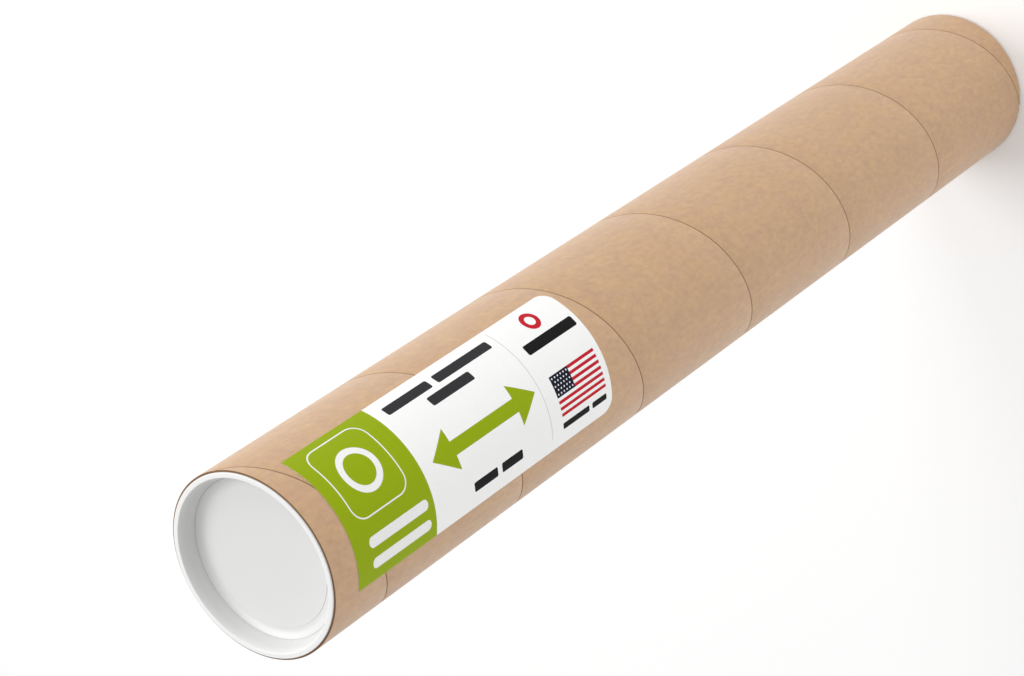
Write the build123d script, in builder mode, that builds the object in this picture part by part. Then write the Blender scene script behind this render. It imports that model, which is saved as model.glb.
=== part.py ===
# Cardboard mailing tube: a spiral-wound kraft tube with two push-in end plugs and a paper label.
# It stands on its lower plug. +Z runs up the tube's axis, the origin is the centre of the face
# that it stands on, and -Y is the side that the label faces.

import os
from math import degrees

from build123d import *

os.makedirs("parts", exist_ok=True)

# Board tube
BORE_DIAMETER = 101.6
BOARD_WALL = 2.286
TUBE_LENGTH = 762.0

# Spiral seam, the gap where the two edges of the outer ply meet
PLY_TURN = 120.5
OUTER_PLY = 0.38
SEAM_GAP = 0.7
SEAM_SETBACK = 24.0

# End plugs, moulded cups with a flange that stops on the end of the board
PLUG_CLEARANCE = 0.12
PLUG_WALL = 1.6
PLUG_FLOOR = 1.5
FIT_LAND = 1.8
CUP_DEPTH = 11.0
WALL_DEPTH = 8.5
WALL_TAPER = 3.0
FLOOR_CORNER = 6.4
FLOOR_STEP = 0.3
FLANGE_THICKNESS = 1.0
FLANGE_SETBACK = 1.1
FLANGE_BEVEL = 0.4

# Label, square-cornered at the upper end and round-cornered at the lower
LABEL_LENGTH = 230.0
LABEL_WIDTH = 83.6
LABEL_SETBACK = 18.5
LABEL_TURN = -4.6
LABEL_THICKNESS = 0.12
ADHESIVE = 0.06
LABEL_CORNER = 8.0

# Cuts run past what they cut by this much
OVERRUN = 1.0

# The front of the part, as an angle about the axis
FRONT = -90

bore_radius = BORE_DIAMETER / 2
tube_radius = bore_radius + BOARD_WALL
tube_bottom = FLANGE_THICKNESS
tube_top = tube_bottom + TUBE_LENGTH
part_top = tube_top + FLANGE_THICKNESS


# The tube is one piece: its plies are glued into a single board wall. The outer ply is wound at
# PLY_TURN a turn, so its seam is a right-handed helix that passes the front SEAM_SETBACK below
# the upper end. The seam is cut as deep as one ply, and it runs out at both ends.
with BuildPart() as tube:
    with BuildSketch(Plane.XY.offset(tube_bottom)):
        Circle(tube_radius)
        Circle(bore_radius, mode=Mode.SUBTRACT)
    extrude(amount=TUBE_LENGTH)

    whole_turns = int(TUBE_LENGTH / PLY_TURN) + 1
    front_turn = whole_turns + FRONT / 360
    seam_start = tube_top - SEAM_SETBACK - front_turn * PLY_TURN
    with BuildLine() as seam:
        Helix(
            pitch=PLY_TURN,
            height=tube_top + OVERRUN - seam_start,
            radius=tube_radius,
            center=(0, 0, seam_start),
        )
    with BuildSketch(Plane(origin=seam.line @ 0, x_dir=(1, 0, 0), z_dir=seam.line % 0)):
        Rectangle(2 * OUTER_PLY, SEAM_GAP)
    sweep(path=seam.line, is_frenet=True, mode=Mode.SUBTRACT)

tube.part.label = "tube"
export_step(tube.part, "parts/tube.step")


# Half the section of a plug. outer_face is the height of the flange's outer face, and inward is
# +1 for a plug that goes up into the tube and -1 for one that goes down into it.
def plug_section(outer_face, inward):
    def at(radius, depth):
        return (radius, outer_face + inward * depth)

    flange_radius = tube_radius - FLANGE_SETBACK
    land_radius = bore_radius - PLUG_CLEARANCE
    mouth_radius = land_radius - PLUG_WALL
    wall_foot = mouth_radius - WALL_TAPER
    floor_radius = wall_foot - FLOOR_CORNER
    land_end = FLANGE_THICKNESS + FIT_LAND
    under_floor = CUP_DEPTH + PLUG_FLOOR
    under_edge = wall_foot - FLOOR_CORNER / 2

    with BuildSketch(Plane.XZ) as section:
        with BuildLine():
            Polyline(
                at(floor_radius, CUP_DEPTH),
                at(floor_radius, CUP_DEPTH - FLOOR_STEP),
                at(0, CUP_DEPTH - FLOOR_STEP),
                at(0, under_floor),
                at(under_edge, under_floor),
                at(wall_foot + PLUG_WALL, WALL_DEPTH),
                at(land_radius, land_end),
                at(land_radius, FLANGE_THICKNESS),
                at(flange_radius, FLANGE_THICKNESS),
                at(flange_radius, 0),
                at(mouth_radius, 0),
                at(wall_foot, WALL_DEPTH),
            )
            TangentArc(
                at(floor_radius, CUP_DEPTH),
                at(wall_foot, WALL_DEPTH),
                tangent=(1, 0),
            )
        make_face()
        outermost = 0 if inward > 0 else -1
        flange_corner = section.vertices().group_by(Axis.Y)[outermost].sort_by(Axis.X)[-1]
        chamfer(flange_corner, FLANGE_BEVEL)
    return section.sketch


with BuildPart() as top_cap:
    revolve(plug_section(part_top, -1), axis=Axis.Z)

top_cap.part.label = "top_cap"
export_step(top_cap.part, "parts/top_cap.step")


with BuildPart() as bottom_cap:
    revolve(plug_section(0, 1), axis=Axis.Z)

bottom_cap.part.label = "bottom_cap"
export_step(bottom_cap.part, "parts/bottom_cap.step")


# The label lies on the tube's outside, over a film of adhesive that closes the gap under it.
with BuildPart() as label:
    label_top = tube_top - LABEL_SETBACK
    inner_radius = tube_radius + ADHESIVE
    outer_radius = inner_radius + LABEL_THICKNESS
    label_arc = degrees(LABEL_WIDTH / tube_radius)
    first_edge = FRONT + LABEL_TURN - label_arc / 2
    with BuildSketch(Plane.XY.offset(label_top)):
        with BuildLine():
            inner = CenterArc((0, 0), inner_radius, first_edge, label_arc)
            outer = CenterArc((0, 0), outer_radius, first_edge, label_arc)
            Line(inner @ 0, outer @ 0)
            Line(inner @ 1, outer @ 1)
        make_face()
    extrude(amount=-LABEL_LENGTH)

    # Each lower corner is trimmed round by a cut that runs straight out from the axis.
    corner_arc = degrees(LABEL_CORNER / tube_radius)
    corner_height = label_top - LABEL_LENGTH + LABEL_CORNER
    for turn, side in (
        (first_edge + corner_arc, Align.MAX),
        (first_edge + label_arc - corner_arc, Align.MIN),
    ):
        outward = Vector(1, 0, 0).rotate(Axis.Z, turn)
        along = Vector(0, 1, 0).rotate(Axis.Z, turn)
        with BuildSketch(Plane(origin=(0, 0, corner_height), x_dir=along, z_dir=outward)):
            Rectangle(LABEL_CORNER + OVERRUN, LABEL_CORNER + OVERRUN, align=(side, Align.MAX))
            Circle(LABEL_CORNER, mode=Mode.SUBTRACT)
        extrude(amount=outer_radius + OVERRUN, mode=Mode.SUBTRACT)

label.part.label = "label"
export_step(label.part, "parts/label.step")
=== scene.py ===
# %% [markdown]
# # A cardboard mailing tube in Blender
#
# The object is a spiral-wound kraft board tube, 762 mm long and 106 mm across, with a white plastic plug
# pushed into each end and a printed paper label near its upper end. The CAD model is loaded first as a
# fixed frame. Then each visible piece is built over its CAD solid, in metres, with +Z up the tube's axis
# and -Y the side that the label faces.

# %% Load the frame
import math

import bmesh
import bpy
from mathutils import Matrix, Vector


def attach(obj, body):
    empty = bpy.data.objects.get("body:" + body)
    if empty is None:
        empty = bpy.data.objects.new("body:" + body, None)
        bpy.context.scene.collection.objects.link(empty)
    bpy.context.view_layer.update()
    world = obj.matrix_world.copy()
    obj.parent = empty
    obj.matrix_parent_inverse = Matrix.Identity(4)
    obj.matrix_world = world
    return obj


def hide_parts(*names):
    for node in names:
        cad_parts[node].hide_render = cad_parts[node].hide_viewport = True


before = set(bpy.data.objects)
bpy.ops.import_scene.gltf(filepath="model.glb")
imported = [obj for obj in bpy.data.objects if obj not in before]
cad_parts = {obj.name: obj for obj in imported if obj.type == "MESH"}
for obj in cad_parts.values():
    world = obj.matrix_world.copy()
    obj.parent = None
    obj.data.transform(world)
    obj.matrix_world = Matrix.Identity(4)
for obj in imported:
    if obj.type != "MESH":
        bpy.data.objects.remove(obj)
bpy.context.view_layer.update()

# %% [markdown]
# The tube's real sizes come from the same figures as the CAD: a 4 inch bore, a 0.09 inch wall and a
# 30 inch board tube. Everything on the tube is placed by two distances that a person could measure with
# a tape: how far it lies below the board's upper end, and how far it lies round the tube from the front.

# %% Sizes
MM = 0.001
BORE_RADIUS = 50.8 * MM
BOARD_WALL = 2.286 * MM
TUBE_LENGTH = 762.0 * MM
FLANGE_DEPTH = 1.0 * MM
TUBE_RADIUS = BORE_RADIUS + BOARD_WALL
TUBE_BOTTOM = FLANGE_DEPTH
TUBE_TOP = TUBE_BOTTOM + TUBE_LENGTH
PART_TOP = TUBE_TOP + FLANGE_DEPTH
print("tube", round(2 * TUBE_RADIUS / MM, 1), "mm across, part", round(PART_TOP / MM, 1), "mm high")

# %% [markdown]
# ## Camera
#
# The photograph shows the tube lying down, seen from its near end through a long lens. A tube that lies
# down would roll, so here it stands on one end, and the camera is tilted to look at it from the same
# side. The camera could be turned with three angles, but its picture is easier to set from three
# directions: where it looks, its up and its right. The roll turns the upright picture until the tube
# runs across it as in the photograph.

# %% Camera
EYE = Vector((0.0, -1.1002, 1.6694))
AIM = Vector((0.0236, 0.0, 0.5126))
ROLL = math.radians(123.55)
SENSOR_WIDTH_MM = 36.0
LENS_MM = 98.72

forward = (AIM - EYE).normalized()
level = forward.cross(Vector((0, 0, 1))).normalized()
upright = level.cross(forward)
picture_up = math.cos(ROLL) * upright + math.sin(ROLL) * level
picture_right = forward.cross(picture_up)

camera_data = bpy.data.cameras.new("camera")
camera_data.sensor_width = SENSOR_WIDTH_MM
camera_data.lens = LENS_MM
camera = bpy.data.objects.new("camera", camera_data)
turned = Matrix((picture_right, picture_up, -forward)).transposed()
camera.matrix_world = Matrix.Translation(EYE) @ turned.to_4x4()
bpy.context.scene.collection.objects.link(camera)
bpy.context.scene.camera = camera
print("camera looks down by", round(math.degrees(math.asin(-forward.z)), 1), "degrees")

# %% [markdown]
# ## Colours, nodes and objects
#
# Colours are written as the hex values that a colour picker shows, and one function turns them into the
# linear light that the renderer adds up. One function adds a shader node, sets it and links it, two more
# start and finish a material, and two add the kinds of node that are used most, so that each material
# reads as a short recipe. The last two round the corners of an outline and turn a finished bmesh into an
# object.

# %% Helpers for colours, nodes and objects


def linear(hex_colour):
    channels = [int(hex_colour[i : i + 2], 16) / 255 for i in (1, 3, 5)]
    light = [c / 12.92 if c <= 0.04045 else ((c + 0.055) / 1.055) ** 2.4 for c in channels]
    return (*light, 1.0)


def add_node(tree, kind, settings=None, inputs=None):
    node = tree.nodes.new(kind)
    for name, value in (settings or {}).items():
        setattr(node, name, value)
    for name, value in (inputs or {}).items():
        if isinstance(value, bpy.types.NodeSocket):
            tree.links.new(value, node.inputs[name])
        else:
            node.inputs[name].default_value = value
    return node


def new_material(name):
    material = bpy.data.materials.new(name)
    material.use_nodes = True
    material.node_tree.nodes.clear()
    return material, material.node_tree


def finish_surface(tree, shader):
    add_node(tree, "ShaderNodeOutputMaterial", inputs={"Surface": shader.outputs[0]})


def map_range(tree, value, low, high, to_min=0.0, to_max=1.0):
    inputs = {"Value": value, "From Min": low, "From Max": high, "To Min": to_min, "To Max": to_max}
    return add_node(tree, "ShaderNodeMapRange", inputs=inputs).outputs[0]


def mix_colours(tree, share, first, second):
    inputs = {0: share, 6: first, 7: second}
    return add_node(tree, "ShaderNodeMix", {"data_type": "RGBA"}, inputs).outputs[2]


def round_corners(bm, corners, radius, segments):
    bmesh.ops.bevel(
        bm,
        geom=corners,
        offset=radius,
        offset_type="OFFSET",
        segments=segments,
        profile=0.5,
        affect="VERTICES",
        material=-1,
    )


def make_object(name, bm, materials):
    mesh = bpy.data.meshes.new(name)
    bm.to_mesh(mesh)
    bm.free()
    for material in materials:
        mesh.materials.append(material)
    made = bpy.data.objects.new(name, mesh)
    bpy.context.scene.collection.objects.link(made)
    return made


# %% [markdown]
# ## Floor and light
#
# The photograph is a studio shot on seamless white, so the floor is one plain pale sheet that fills the
# picture, and the world is an even white. The floor glows a little, as a lit paper sweep does, so that it
# stays white beside the tube. The picture's own upward direction lies level in this frame, towards +X.
# The key box hangs there, so the light falls along the edge of the tube that is the upper edge in the
# picture. A box above and behind the standing tube lights the plug's floor and leaves the cup's far wall
# in shade, and a low weak box in front fills the side that is the lower edge in the picture.

# %% Floor
FLOOR_HALF = 30.0
floor_bm = bmesh.new()
bmesh.ops.create_grid(floor_bm, x_segments=1, y_segments=1, size=FLOOR_HALF)
floor_paper, tree = new_material("seamless_white_paper")
floor_shader = add_node(
    tree,
    "ShaderNodeBsdfPrincipled",
    inputs={
        "Base Color": linear("#FCFCFC"),
        "Roughness": 0.9,
        "Emission Color": linear("#FFFFFF"),
        "Emission Strength": 0.12,
    },
)
finish_surface(tree, floor_shader)
floor = make_object("floor", floor_bm, [floor_paper])
print("floor", 2 * FLOOR_HALF, "m wide")

# %% Light
world = bpy.data.worlds.new("studio_white")
bpy.context.scene.world = world
world.use_nodes = True
world.node_tree.nodes["Background"].inputs["Color"].default_value = linear("#FFFFFF")
world.node_tree.nodes["Background"].inputs["Strength"].default_value = 0.5
bpy.context.scene.view_settings.view_transform = "Standard"


def soft_box(name, centre, target, width, height, power):
    light = bpy.data.lights.new(name, "AREA")
    light.shape = "RECTANGLE"
    light.size = width
    light.size_y = height
    light.energy = power
    box = bpy.data.objects.new(name, light)
    aim = (Vector(target) - Vector(centre)).to_track_quat("-Z", "Y")
    box.matrix_world = Matrix.Translation(Vector(centre)) @ aim.to_matrix().to_4x4()
    bpy.context.scene.collection.objects.link(box)


soft_box("key_box", (2.2, -0.9, 1.3), (0, 0, 0.5), width=1.2, height=1.8, power=20)
soft_box("top_box", (1.2, 1.0, 2.7), (0, 0, 0.4), width=1.6, height=1.6, power=38)
soft_box("fill_box", (-2.0, -2.2, 0.35), (0, 0, 0.35), width=2.4, height=0.6, power=13)

# %% [markdown]
# ## Kraft board tube
#
# The real tube is made of paper strips that are glued and wound on a steel rod in a spiral. The outer
# strip shows: where its two edges meet there is a fine seam that climbs round the tube like a screw
# thread, 120.5 mm a turn. A cylinder with a seam painted on would be quicker, but here the strip is wound
# as the machine does it. Its edge profile is one line that runs from seam to seam, one ply deep in the
# seam, and a spin that also rises sweeps it once round. That turn is copied upwards, each copy starting
# where the last one ends, the doubled edges are merged, and two planes cut the wound board to length.

# %% Winding sizes
PLY_TURN = 120.5 * MM
OUTER_PLY = 0.38 * MM
SEAM_HALF = 0.35 * MM
SEAM_SETBACK = 24.0 * MM
STEPS_A_TURN = 180
TURNS = 9
WOUND_FROM = TUBE_TOP - SEAM_SETBACK - (TURNS - 1) * PLY_TURN

strip_profile = [
    (-OUTER_PLY, 0.0),
    (-OUTER_PLY, SEAM_HALF * 0.85),
    (-OUTER_PLY * 0.2, SEAM_HALF),
    (0.0, SEAM_HALF * 2),
    (0.0, PLY_TURN * 0.25),
    (0.0, PLY_TURN * 0.5),
    (0.0, PLY_TURN * 0.75),
    (0.0, PLY_TURN - SEAM_HALF * 2),
    (-OUTER_PLY * 0.2, PLY_TURN - SEAM_HALF),
    (-OUTER_PLY, PLY_TURN - SEAM_HALF * 0.85),
    (-OUTER_PLY, PLY_TURN),
]
print("strip profile", len(strip_profile), "points, seam", round(2 * SEAM_HALF / MM, 1), "mm wide")

# %% Wind the strip
tube_bm = bmesh.new()
profile_verts = [
    tube_bm.verts.new((0, -(TUBE_RADIUS + depth), WOUND_FROM + height))
    for depth, height in strip_profile
]
profile_edges = [tube_bm.edges.new(pair) for pair in zip(profile_verts, profile_verts[1:])]
bmesh.ops.spin(
    tube_bm,
    geom=profile_verts + profile_edges,
    cent=(0, 0, 0),
    axis=(0, 0, 1),
    dvec=(0, 0, PLY_TURN / STEPS_A_TURN),
    angle=math.tau,
    steps=STEPS_A_TURN,
)
first_turn = tube_bm.verts[:] + tube_bm.edges[:] + tube_bm.faces[:]
for turn in range(1, TURNS):
    next_turn = bmesh.ops.duplicate(tube_bm, geom=first_turn)["geom"]
    moved = [item for item in next_turn if isinstance(item, bmesh.types.BMVert)]
    bmesh.ops.translate(tube_bm, verts=moved, vec=(0, 0, turn * PLY_TURN))
bmesh.ops.remove_doubles(tube_bm, verts=tube_bm.verts, dist=0.01 * MM)
print("wound strip", len(tube_bm.faces), "faces, top", round(max(v.co.z for v in tube_bm.verts), 4))

# %% Cut the board to length and close its ends
for height, outward in ((TUBE_TOP, 1), (TUBE_BOTTOM, -1)):
    bmesh.ops.bisect_plane(
        tube_bm,
        geom=tube_bm.verts[:] + tube_bm.edges[:] + tube_bm.faces[:],
        dist=0.001 * MM,
        plane_co=(0, 0, height),
        plane_no=(0, 0, outward),
        clear_outer=True,
    )

bore_edges = []
for height in (TUBE_TOP, TUBE_BOTTOM):
    rim = [
        e
        for e in tube_bm.edges
        if e.is_boundary and all(abs(v.co.z - height) < 0.01 * MM for v in e.verts)
    ]
    grown = bmesh.ops.extrude_edge_only(tube_bm, edges=rim)["geom"]
    for item in grown:
        if isinstance(item, bmesh.types.BMVert):
            inward = Vector((item.co.x, item.co.y, 0)).normalized()
            item.co = inward * BORE_RADIUS + Vector((0, 0, height))
    bore_edges += [e for e in grown if isinstance(e, bmesh.types.BMEdge) and e.is_boundary]
    for item in grown:
        if isinstance(item, bmesh.types.BMFace):
            item.material_index = 1
bmesh.ops.bridge_loops(tube_bm, edges=bore_edges)
bmesh.ops.recalc_face_normals(tube_bm, faces=tube_bm.faces)
for face in tube_bm.faces:
    face.smooth = face.material_index == 0
for edge in tube_bm.edges:
    edge.smooth = len({face.material_index for face in edge.link_faces}) == 1
print("tube", len(tube_bm.faces), "faces, open edges", sum(e.is_boundary for e in tube_bm.edges))

# %% [markdown]
# The grain of kraft paper runs along the strip, so its pattern has to follow the winding. The strip is
# unrolled into a UV map: how far along the strip a point lies, and how far across it. Both are real
# metres, so a fibre that is 2 mm long is 2 mm long anywhere on the tube.

# %% Unroll the strip
strip_uv = tube_bm.loops.layers.uv.new("strip")
for face in tube_bm.faces:
    centre = face.calc_center_median()
    centre_turn = math.atan2(centre.x, -centre.y)
    wraps = math.floor((centre.z - WOUND_FROM - PLY_TURN * centre_turn / math.tau) / PLY_TURN)
    centre_turn += wraps * math.tau
    for loop in face.loops:
        turn = math.atan2(loop.vert.co.x, -loop.vert.co.y)
        turn += round((centre_turn - turn) / math.tau) * math.tau
        across = loop.vert.co.z - WOUND_FROM - PLY_TURN * turn / math.tau
        loop[strip_uv].uv = (turn * TUBE_RADIUS, across)
print("strip unrolled on", len(tube_bm.faces), "faces")

# %% [markdown]
# Kraft is unbleached wood pulp. Its colour is a warm brown that is never quite even: soft clouds a
# centimetre or two across where the pulp is thicker, a mottle of a few millimetres, and fine fibres along
# the strip. Real fibres are thinner than a pixel of the picture, so they are drawn 0.9 mm wide. The
# surface is calendered, which leaves it matt but with a pale sheen when light grazes it.

# %% Kraft board
kraft_board, tree = new_material("calendered_kraft_board")
strip = add_node(tree, "ShaderNodeUVMap", {"uv_map": "strip"})


def paper_noise(tree, strip, length, width, detail):
    # One cloud of the noise is about this long and this wide on the strip, in metres.
    stretched = add_node(
        tree,
        "ShaderNodeMapping",
        inputs={"Vector": strip.outputs["UV"], "Scale": (1 / length, 1 / width, 1)},
    )
    return add_node(
        tree,
        "ShaderNodeTexNoise",
        inputs={"Vector": stretched.outputs[0], "Scale": 1.0, "Detail": detail, "Roughness": 0.6},
    )


clouds = paper_noise(tree, strip, 9 * MM, 16 * MM, 2.0)
mottle = paper_noise(tree, strip, 3.4 * MM, 6.0 * MM, 3.0)
fibres = paper_noise(tree, strip, 2.2 * MM, 0.9 * MM, 3.0)
cloud_share = map_range(tree, clouds.outputs["Fac"], 0.35, 0.65)
mottle_share = map_range(tree, mottle.outputs["Fac"], 0.3, 0.75, to_max=0.5)
fibre_share = map_range(tree, fibres.outputs["Fac"], 0.52, 0.75, to_max=0.3)
paper_colour = mix_colours(tree, cloud_share, linear("#D1A97B"), linear("#CAA07C"))
paper_colour = mix_colours(tree, mottle_share, paper_colour, linear("#AB855F"))
paper_colour = mix_colours(tree, fibre_share, paper_colour, linear("#D6B896"))

# The seam is a slot whose colour is darkened: partly the paper's darker cut edges in it, partly painted
# shade for the slot's shadow.
across = add_node(tree, "ShaderNodeSeparateXYZ", inputs={0: strip.outputs["UV"]})
to_middle = add_node(
    tree,
    "ShaderNodeMath",
    {"operation": "SUBTRACT"},
    {0: across.outputs["Y"], 1: PLY_TURN / 2},
)
from_middle = add_node(tree, "ShaderNodeMath", {"operation": "ABSOLUTE"}, {0: to_middle.outputs[0]})
seam_edge_and_shade_share = map_range(
    tree,
    from_middle.outputs[0],
    PLY_TURN / 2 - SEAM_HALF * 1.5,
    PLY_TURN / 2 - SEAM_HALF * 0.7,
    to_max=0.85,
)
paper_colour = mix_colours(tree, seam_edge_and_shade_share, paper_colour, linear("#92673F"))
grain_height = add_node(
    tree,
    "ShaderNodeMix",
    {"data_type": "FLOAT"},
    {0: 0.5, 2: fibres.outputs["Fac"], 3: mottle.outputs["Fac"]},
)
grain = add_node(
    tree,
    "ShaderNodeBump",
    inputs={"Strength": 0.35, "Distance": 0.05 * MM, "Height": grain_height.outputs[0]},
)
kraft_shader = add_node(
    tree,
    "ShaderNodeBsdfPrincipled",
    inputs={
        "Base Color": paper_colour,
        "Roughness": 0.48,
        "Specular IOR Level": 0.65,
        "Sheen Weight": 0.16,
        "Sheen Roughness": 0.5,
        "Normal": grain.outputs[0],
    },
)
finish_surface(tree, kraft_shader)
print(kraft_board.name, len(tree.nodes), "nodes")

# %% [markdown]
# The cut end shows the plies edge on, as fine rings. They are drawn from each point's distance to the
# tube's axis: one dark glue line for every ply.

# %% Cut board edge


def distance_from_axis(tree):
    place = add_node(tree, "ShaderNodeTexCoord")
    flat = add_node(
        tree,
        "ShaderNodeMapping",
        inputs={"Vector": place.outputs["Object"], "Scale": (1, 1, 0)},
    )
    from_axis = add_node(
        tree, "ShaderNodeVectorMath", {"operation": "LENGTH"}, {0: flat.outputs[0]}
    )
    return from_axis.outputs["Value"]


board_edge, tree = new_material("cut_kraft_board_edge")
ply_phase = add_node(
    tree,
    "ShaderNodeMath",
    {"operation": "MULTIPLY"},
    {0: distance_from_axis(tree), 1: math.tau / OUTER_PLY},
)
ply_wave = add_node(tree, "ShaderNodeMath", {"operation": "SINE"}, {0: ply_phase.outputs[0]})
ply_share = map_range(tree, ply_wave.outputs[0], 0.2, 0.9)
edge_colour = mix_colours(tree, ply_share, linear("#8C6A4D"), linear("#5F4531"))
edge_shader = add_node(
    tree,
    "ShaderNodeBsdfPrincipled",
    inputs={"Base Color": edge_colour, "Roughness": 0.9},
)
finish_surface(tree, edge_shader)
print(board_edge.name, len(tree.nodes), "nodes")

# %% Place the tube
kraft_tube = make_object("kraft_tube", tube_bm, [kraft_board, board_edge])
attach(kraft_tube, "tube_body")
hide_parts("tube")
print("placed", kraft_tube.name)

# %% [markdown]
# ## End plugs
#
# Each plug is one moulding of polyethylene: a flange that stops on the end of the board, a short land
# that grips the bore, a wall that tapers in, and a floor with a curved edge and a fine step. It is round,
# so it could be cut from a cylinder, but a moulder would draw its section, and so does this: the section
# is a ring of points whose corners are rounded by vertex bevels, and a full spin turns it round the axis.

# %% Plug section
PLUG_CLEARANCE = 0.12 * MM
PLUG_WALL = 1.6 * MM
PLUG_FLOOR = 1.5 * MM
FLANGE_SETBACK = 1.1 * MM
FIT_LAND = 1.8 * MM
WALL_DEPTH = 8.5 * MM
WALL_TAPER = 3.0 * MM
CUP_DEPTH = 11.0 * MM
FLOOR_CORNER = 6.4 * MM
FLOOR_STEP = 0.3 * MM

FLANGE_RADIUS = TUBE_RADIUS - FLANGE_SETBACK
LAND_RADIUS = BORE_RADIUS - PLUG_CLEARANCE
MOUTH_RADIUS = LAND_RADIUS - PLUG_WALL
WALL_FOOT = MOUTH_RADIUS - WALL_TAPER
FLOOR_RADIUS = WALL_FOOT - FLOOR_CORNER
LAND_DEPTH = FLANGE_DEPTH + FIT_LAND
FLOOR_DEPTH = CUP_DEPTH - FLOOR_STEP
UNDER_FLOOR = CUP_DEPTH + PLUG_FLOOR

# Each corner is its radius from the axis, its depth below the flange's outer face and how far it is
# rounded. The points just inside WALL_FOOT draw the fine crease round the floor's curved edge.
plug_corners = [
    (0, FLOOR_DEPTH, 0),
    (FLOOR_RADIUS, FLOOR_DEPTH, 0.05 * MM),
    (FLOOR_RADIUS + 0.1 * MM, CUP_DEPTH, 0.05 * MM),
    (FLOOR_RADIUS + 2.4 * MM, CUP_DEPTH - 0.05 * MM, 0.8 * MM),
    (FLOOR_RADIUS + 4.5 * MM, CUP_DEPTH - 0.75 * MM, 0.8 * MM),
    (WALL_FOOT - 0.55 * MM, WALL_DEPTH + 0.95 * MM, 0.1 * MM),
    (WALL_FOOT - 0.3 * MM, WALL_DEPTH + 1.3 * MM, 0.05 * MM),
    (WALL_FOOT, WALL_DEPTH, 0),
    (MOUTH_RADIUS, 0, 0.45 * MM),
    (FLANGE_RADIUS, 0, 0.4 * MM),
    (FLANGE_RADIUS, FLANGE_DEPTH, 0.1 * MM),
    (LAND_RADIUS, FLANGE_DEPTH, 0),
    (LAND_RADIUS, LAND_DEPTH, 0.3 * MM),
    (WALL_FOOT + PLUG_WALL, WALL_DEPTH, 0.6 * MM),
    (WALL_FOOT - FLOOR_CORNER / 2, UNDER_FLOOR, 0.6 * MM),
    (0, UNDER_FLOOR, 0),
]
PLUG_STEPS = 192
CORNER_STEP = 0.25 * MM
STEPPED_EDGE = 1.2 * MM
print("plug section", len(plug_corners), "corners")

# %% Turn a plug


def turn_plug(name, outer_face, inward, body, node, material):
    plug_bm = bmesh.new()
    corners = [
        (plug_bm.verts.new((radius, 0, outer_face + inward * depth)), rounding)
        for radius, depth, rounding in plug_corners
    ]
    for (first, _), (second, _) in zip(corners, corners[1:]):
        plug_bm.edges.new((first, second))
    for corner, rounding in corners:
        if rounding:
            round_corners(plug_bm, [corner], rounding, 5)
    # A short step beside each corner keeps the shading of the flat and tapered parts clean.
    for edge in [e for e in plug_bm.edges if e.calc_length() > STEPPED_EDGE]:
        start, end = edge.verts
        _, step = bmesh.utils.edge_split(edge, start, CORNER_STEP / edge.calc_length())
        rest = next(e for e in step.link_edges if end in e.verts)
        bmesh.utils.edge_split(rest, end, CORNER_STEP / rest.calc_length())
    bmesh.ops.spin(
        plug_bm,
        geom=plug_bm.verts[:] + plug_bm.edges[:],
        cent=(0, 0, 0),
        axis=(0, 0, 1),
        angle=math.tau,
        steps=PLUG_STEPS,
        use_merge=True,
    )
    bmesh.ops.remove_doubles(plug_bm, verts=plug_bm.verts, dist=0.002 * MM)
    bmesh.ops.recalc_face_normals(plug_bm, faces=plug_bm.faces)
    for face in plug_bm.faces:
        face.smooth = True
    print(name, len(plug_bm.faces), "faces, open edges", sum(e.is_boundary for e in plug_bm.edges))
    plug = make_object(name, plug_bm, [material])
    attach(plug, body)
    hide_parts(node)


# %% [markdown]
# Low-density polyethylene is a soft, slightly waxy white plastic, and the mould leaves a satin skin with
# a very fine unevenness. A thin sheet of it lets some light through, so the cup's floor, which has the
# dark tube behind it, looks a little greyer than the flange, which lies on the board. That is painted
# light and shade: the base colour is greyer on the cup and whiter on the flange, and the tone changes
# over the wall, by the distance from the plug's axis.

# %% Moulded polyethylene
white_plastic, tree = new_material("moulded_white_polyethylene")
place = add_node(tree, "ShaderNodeTexCoord")
skin = add_node(
    tree,
    "ShaderNodeTexNoise",
    inputs={"Vector": place.outputs["Object"], "Scale": 1 / (2.5 * MM), "Detail": 2.0},
)
skin_bump = add_node(
    tree,
    "ShaderNodeBump",
    inputs={"Strength": 0.12, "Distance": 0.05 * MM, "Height": skin.outputs["Fac"]},
)
# Painted light and shade: the cup's floor is coloured greyer and the flange whiter, for light through the
# thin plastic.
flange_painted_light_share = map_range(
    tree, distance_from_axis(tree), MOUTH_RADIUS - 1.5 * MM, MOUTH_RADIUS + 0.5 * MM
)
plastic_colour = mix_colours(tree, flange_painted_light_share, linear("#E3E3E2"), linear("#F3F3F2"))
plastic_shader = add_node(
    tree,
    "ShaderNodeBsdfPrincipled",
    inputs={
        "Base Color": plastic_colour,
        "Roughness": 0.38,
        "IOR": 1.51,
        "Normal": skin_bump.outputs[0],
    },
)
finish_surface(tree, plastic_shader)
turn_plug("upper_plug", PART_TOP, -1, "top_plug", "top_cap", white_plastic)
turn_plug("lower_plug", 0.0, 1, "bottom_plug", "bottom_cap", white_plastic)

# %% [markdown]
# ## Label
#
# The label is printed flat and then pressed round the tube, so it is made flat and then bent. On the flat
# sheet, x is the distance round the tube from the front, y is the height, and z is the height above the
# board. Before it is bent, every flat shape is cut into strips 2 mm wide along the same lines, so that the
# paper and the ink on it bend alike and the ink never sinks into the paper.

# %% Flat sheets and how they bend
LABEL_LIFT = 0.06 * MM
LABEL_THICKNESS = 0.12 * MM
INK_THICKNESS = 0.02 * MM
STRIP_WIDTH = 2.0 * MM
print("label", round(LABEL_THICKNESS / MM, 2), "mm thick, each ink", round(INK_THICKNESS / MM, 2), "mm")


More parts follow.
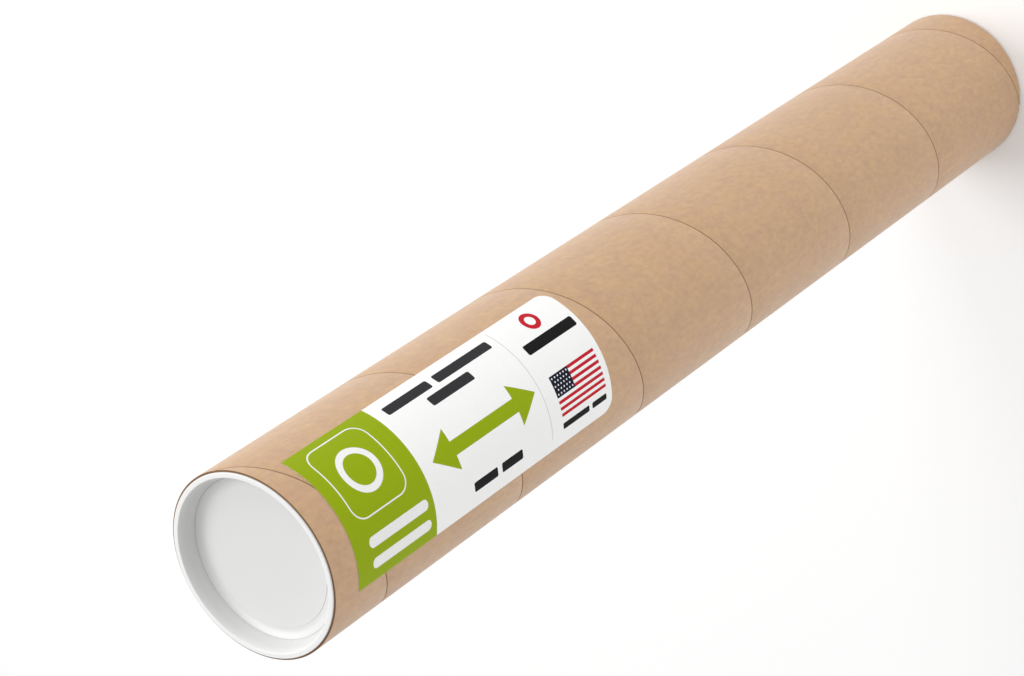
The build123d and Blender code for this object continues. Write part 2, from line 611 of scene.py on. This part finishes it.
def flat_bar(bm, round_from, round_to, depth_from, depth_to, corner=0.0, segments=8):
    # A bar between two distances round the tube and two depths below the board's end, in millimetres.
    grid = bmesh.ops.create_grid(bm, x_segments=1, y_segments=1, size=0.5)
    size = ((round_to - round_from) * MM, (depth_to - depth_from) * MM, 1)
    middle = ((round_from + round_to) / 2 * MM, TUBE_TOP - (depth_from + depth_to) / 2 * MM, 0)
    bmesh.ops.scale(bm, verts=grid["verts"], vec=size)
    bmesh.ops.translate(bm, verts=grid["verts"], vec=middle)
    if corner:
        round_corners(bm, grid["verts"], corner * MM, segments)


def bend_round_tube(bm, lift, thickness):
    raised = bmesh.ops.extrude_face_region(bm, geom=bm.faces[:])["geom"]
    raised_verts = [v for v in raised if isinstance(v, bmesh.types.BMVert)]
    bmesh.ops.translate(bm, verts=raised_verts, vec=(0, 0, thickness))
    bmesh.ops.translate(bm, verts=bm.verts, vec=(0, 0, lift))
    first = math.ceil(min(v.co.x for v in bm.verts) / STRIP_WIDTH)
    last = math.floor(max(v.co.x for v in bm.verts) / STRIP_WIDTH)
    for line in range(first, last + 1):
        bmesh.ops.bisect_plane(
            bm,
            geom=bm.verts[:] + bm.edges[:] + bm.faces[:],
            dist=0.001 * MM,
            plane_co=(line * STRIP_WIDTH, 0, 0),
            plane_no=(1, 0, 0),
        )
    for vert in bm.verts:
        turn = vert.co.x / TUBE_RADIUS
        radius = TUBE_RADIUS + vert.co.z
        vert.co = (radius * math.sin(turn), -radius * math.cos(turn), vert.co.y)
    bmesh.ops.recalc_face_normals(bm, faces=bm.faces)


# %% Cut the label
# Places on the flat label are in millimetres, round the tube from the front and down from the board's end.
LABEL_WIDTH = 83.6
LABEL_START = 18.5
LABEL_END = LABEL_START + 230.0
LABEL_CORNER = 8.0
LABEL_CENTRE = math.radians(-4.6) * TUBE_RADIUS / MM
LABEL_LEFT = LABEL_CENTRE - LABEL_WIDTH / 2
LABEL_RIGHT = LABEL_CENTRE + LABEL_WIDTH / 2

label_bm = bmesh.new()
flat_bar(label_bm, LABEL_LEFT, LABEL_RIGHT, LABEL_START, LABEL_END)
middle_height = sum(v.co.y for v in label_bm.verts) / len(label_bm.verts)
lower_corners = [v for v in label_bm.verts if v.co.y < middle_height]
round_corners(label_bm, lower_corners, LABEL_CORNER * MM, 12)
bend_round_tube(label_bm, LABEL_LIFT, LABEL_THICKNESS)
print("label", len(label_bm.faces), "faces, open edges", sum(e.is_boundary for e in label_bm.edges))

# %% [markdown]
# Label paper is coated with clay, which makes it bright and smooth. Ink is a very thin film that dries
# duller than the coating, so each ink colour is its own thin piece with its own material.

# %% Coated paper and inks


def coated_stock(name, colour, roughness, shine):
    material, tree = new_material(name)
    place = add_node(tree, "ShaderNodeTexCoord")
    pulp = add_node(
        tree,
        "ShaderNodeTexNoise",
        inputs={"Vector": place.outputs["Object"], "Scale": 1 / (1.2 * MM), "Detail": 3.0},
    )
    unevenness = map_range(tree, pulp.outputs["Fac"], 0.0, 1.0, to_min=0.97, to_max=1.03)
    tone = add_node(
        tree,
        "ShaderNodeHueSaturation",
        inputs={"Color": linear(colour), "Value": unevenness},
    )
    texture = add_node(
        tree,
        "ShaderNodeBump",
        inputs={"Strength": 0.15, "Distance": 0.02 * MM, "Height": pulp.outputs["Fac"]},
    )
    shader = add_node(
        tree,
        "ShaderNodeBsdfPrincipled",
        inputs={
            "Base Color": tone.outputs[0],
            "Roughness": roughness,
            "Specular IOR Level": shine,
            "Normal": texture.outputs[0],
        },
    )
    finish_surface(tree, shader)
    return material


label_paper = coated_stock("coated_label_paper", "#FDFDFC", 0.5, 0.35)
label = make_object("paper_label", label_bm, [label_paper])
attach(label, "tube_body")
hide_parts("label")
print("placed", label.name)

# %% [markdown]
# The print is fields of colour and simple shapes. A green field covers the label's upper end, with a
# badge outlined in white and a ring for the tube's end. Bars stand where words would be. A green arrow
# with two heads stands for the length, and a striped block with a dotted corner fills the last field.

# %% Print an ink


def print_ink(name, colour, level, draw):
    ink_bm = bmesh.new()
    draw(ink_bm)
    lift = LABEL_LIFT + LABEL_THICKNESS + (level - 1) * INK_THICKNESS
    bend_round_tube(ink_bm, lift, INK_THICKNESS)
    ink = make_object(name, ink_bm, [coated_stock(name + "_ink", colour, 0.45, 0.08)])
    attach(ink, "tube_body")
    print(name, len(ink.data.polygons), "faces")


def leave_outline(bm, faces, width):
    bmesh.ops.inset_region(
        bm, faces=faces, thickness=width, use_even_offset=True, use_boundary=True
    )
    bmesh.ops.delete(bm, geom=faces, context="FACES_ONLY")


def flat_ring(bm, round_at, depth_at, outer, inner):
    outline = bmesh.ops.create_circle(bm, segments=48, radius=outer * MM, cap_ends=True)
    place = (round_at * MM, TUBE_TOP - depth_at * MM, 0)
    bmesh.ops.translate(bm, verts=outline["verts"], vec=place)
    leave_outline(bm, outline["verts"][0].link_faces[:], (outer - inner) * MM)


# %% Green ink
GREEN_END = 84.0
ARROW_ROUND = -8.5
ARROW_HALF_WIDTH = 4.0
ARROW_TIPS = (93.5, 186.0)
HEAD_SPREAD = 14.0
HEAD_RADIUS = 12.0


def arrow_head(bm, tip_depth, turn):
    # A circle of three segments is a triangle, with its tip one radius from its centre.
    head = bmesh.ops.create_circle(bm, segments=3, radius=1.0, cap_ends=True)
    bmesh.ops.scale(bm, verts=head["verts"], vec=(HEAD_SPREAD * MM, HEAD_RADIUS * MM, 1))
    bmesh.ops.translate(bm, verts=head["verts"], vec=(0, -HEAD_RADIUS * MM, 0))
    bmesh.ops.rotate(bm, verts=head["verts"], matrix=Matrix.Rotation(turn, 3, "Z"))
    place = (ARROW_ROUND * MM, TUBE_TOP - tip_depth * MM, 0)
    bmesh.ops.translate(bm, verts=head["verts"], vec=place)


def draw_green(bm):
    flat_bar(bm, LABEL_LEFT, LABEL_RIGHT, LABEL_START, GREEN_END)
    # The triangle's base lies half a radius behind its centre, which is where the shaft begins.
    head_length = HEAD_RADIUS * 1.5
    arrow_head(bm, ARROW_TIPS[0], 0)
    flat_bar(
        bm,
        ARROW_ROUND - ARROW_HALF_WIDTH,
        ARROW_ROUND + ARROW_HALF_WIDTH,
        ARROW_TIPS[0] + head_length,
        ARROW_TIPS[1] - head_length,
    )
    arrow_head(bm, ARROW_TIPS[1], math.pi)


print_ink("print_green", "#97AE08", 1, draw_green)

# %% White ink
BADGE_LINE = 0.8


def draw_white(bm):
    flat_bar(bm, -13, 33, 27.5, 72, 9)
    leave_outline(bm, bm.faces[:], BADGE_LINE * MM)
    flat_ring(bm, 10, 49.75, 13.5, 9.5)
    for bar_from in (-28, -39.5):
        flat_bar(bm, bar_from, bar_from + 6, 30.5, 79.5, 3)


print_ink("print_white", "#F7F7F5", 2, draw_white)

# %% Dark, grey, red and navy inks
# The striped block lies between two distances round the tube and two depths, and so does its corner.
STRIPES = 13
CORNER_STRIPES = 7
BLOCK_ROUND = (-30.0, -6.5)
BLOCK_DEPTH = (200.7, 243.5)
CORNER_ROUND_FROM = -19.15
CORNER_DEPTH_TO = 217.7
DOT_RADIUS = 0.55
DOT_ROW = 2.35
DOT_COLUMN = 2.7


def draw_dark_grey(bm):
    for round_from, depth_from, depth_to in ((25, 92, 130), (25, 135, 184), (15.5, 119, 156)):
        flat_bar(bm, round_from, round_from + 6, depth_from, depth_to, 1.2, 4)


def draw_black(bm):
    flat_bar(bm, -37, -31.5, 118, 139, 1.0, 4)
    flat_bar(bm, -37, -31.5, 143, 162, 1.0, 4)
    flat_bar(bm, 9, 15.5, 199, 245, 1.2, 4)
    flat_bar(bm, -37.4, -33.8, 200.6, 226, 0.8, 4)
    flat_bar(bm, -37.4, -33.8, 229, 243, 0.8, 4)


def draw_grey(bm):
    flat_bar(bm, -39, 35, 189.7, 190.3)


def draw_red(bm):
    stripe = (BLOCK_ROUND[1] - BLOCK_ROUND[0]) / STRIPES
    for row in range(0, STRIPES, 2):
        top = BLOCK_ROUND[1] - row * stripe
        start = CORNER_DEPTH_TO if row < CORNER_STRIPES else BLOCK_DEPTH[0]
        flat_bar(bm, top - stripe, top, start, BLOCK_DEPTH[1])
    flat_ring(bm, 26, 220.5, 6.5, 3.4)


def draw_navy(bm):
    flat_bar(bm, CORNER_ROUND_FROM, BLOCK_ROUND[1], BLOCK_DEPTH[0], CORNER_DEPTH_TO)


def draw_dots(bm):
    # Every second row has one dot fewer and starts half a column further on.
    for row in range(5):
        staggered = row % 2
        for column in range(6 - staggered):
            dot = bmesh.ops.create_circle(bm, segments=10, radius=DOT_RADIUS * MM, cap_ends=True)
            dot_round = -8.1 - DOT_ROW * row
            depth = 202.5 + DOT_COLUMN * (column + staggered / 2)
            place = (dot_round * MM, TUBE_TOP - depth * MM, 0)
            bmesh.ops.translate(bm, verts=dot["verts"], vec=place)


print_ink("print_dark_grey", "#303033", 1, draw_dark_grey)
print_ink("print_black", "#101010", 1, draw_black)
print_ink("print_grey", "#D9D9D9", 1, draw_grey)
print_ink("print_red", "#C8182B", 1, draw_red)
print_ink("print_navy", "#14162E", 1, draw_navy)
print_ink("print_dots", "#F4F4F2", 2, draw_dots)
